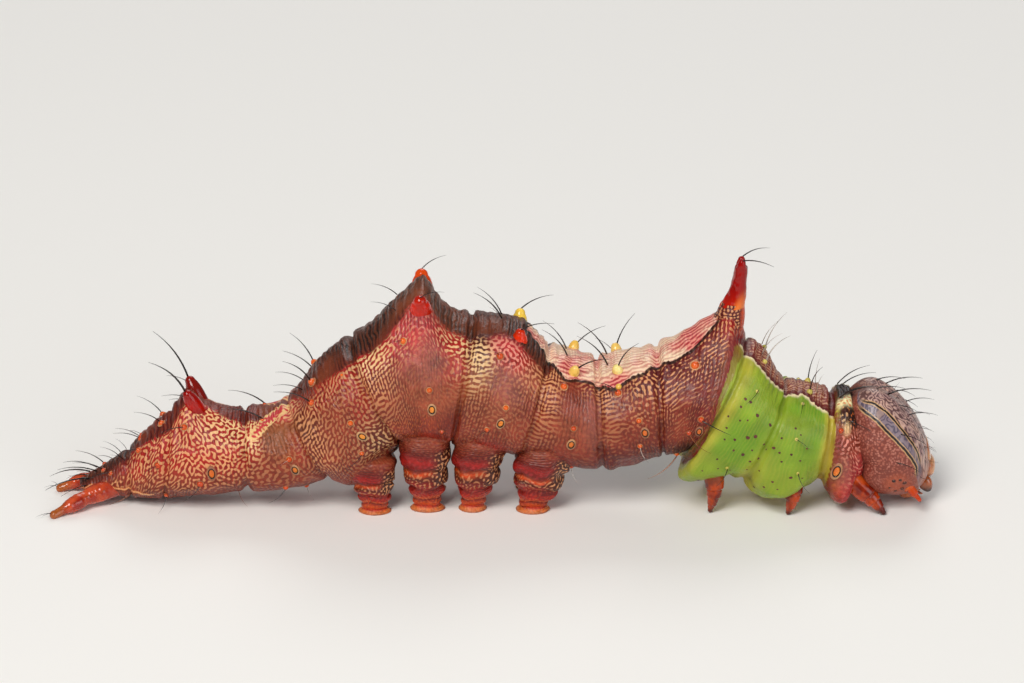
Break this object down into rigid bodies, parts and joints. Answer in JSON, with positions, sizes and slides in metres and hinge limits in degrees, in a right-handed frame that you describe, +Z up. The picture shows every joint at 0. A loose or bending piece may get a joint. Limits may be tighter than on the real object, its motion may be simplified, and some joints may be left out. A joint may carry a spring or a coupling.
{
  "type": "moth larva",
  "caption": "Still, life-size larva of a prominent moth: humped brown trunk, green thorax, red horn and tubercles, round striped head, prolegs on flat soles.",
  "frame": {"origin": "middle of the bounding box, at floor level", "axes": "+X from the tail to the head, +Z up, +Y to the animal's left"},
  "size_m": [0.0302, 0.0048, 0.0089],
  "materials": {
    "skin_brown": "soft, finely wrinkled brown-mauve skin with a cream worm-track pattern edged in dark red; pale pink-white saddle on A1 to A4",
    "skin_green": "soft lime-green skin, yellower below, with fine pale lines and small purple-brown dots",
    "proleg_red": "soft dark red skin in rings, with cream netting and a pale brown sole",
    "horn_red": "glossy waxy red to orange",
    "leg_orange": "glossy orange-red, slightly translucent, hard",
    "head_brown": "hard, finely granular pinkish brown with grey netting and two black, cream-edged stripes on each side",
    "mouth_amber": "glassy amber, translucent at the edges"
  },
  "bodies": {
    "root": {"head": "head_brown", "labrum": "mouth_amber", "labium": "mouth_amber", "mandible_left": "mouth_amber", "mandible_right": "mouth_amber", "antenna_left": "leg_orange", "antenna_right": "leg_orange", "thorax_t1": "skin_brown", "thorax_t2": "skin_green", "thorax_t3": "skin_green", "abdomen_a1": "skin_brown", "abdomen_a2": "skin_brown", "abdomen_a3": "skin_brown", "abdomen_a4": "skin_brown", "abdomen_a5": "skin_brown", "abdomen_a6": "skin_brown", "abdomen_a7": "skin_brown", "abdomen_a8": "skin_brown", "abdomen_a9": "skin_brown", "abdomen_a10": "skin_brown", "horn_a1": "horn_red", "tubercle_a4_left": "horn_red", "tubercle_a5_left": "horn_red", "tubercle_a8_left": "horn_red", "leg_t1_left": "leg_orange", "leg_t2_left": "leg_orange", "leg_t3_left": "leg_orange", "proleg_a3_left": "proleg_red", "proleg_a4_left": "proleg_red", "proleg_a5_left": "proleg_red", "proleg_a6_left": "proleg_red", "anal_leg_left": "leg_orange", "tubercle_a4_right": "horn_red", "tubercle_a5_right": "horn_red", "tubercle_a8_right": "horn_red", "leg_t1_right": "leg_orange", "leg_t2_right": "leg_orange", "leg_t3_right": "leg_orange", "proleg_a3_right": "proleg_red", "proleg_a4_right": "proleg_red", "proleg_a5_right": "proleg_red", "proleg_a6_right": "proleg_red", "anal_leg_right": "leg_orange"}
  },
  "joints": []
}
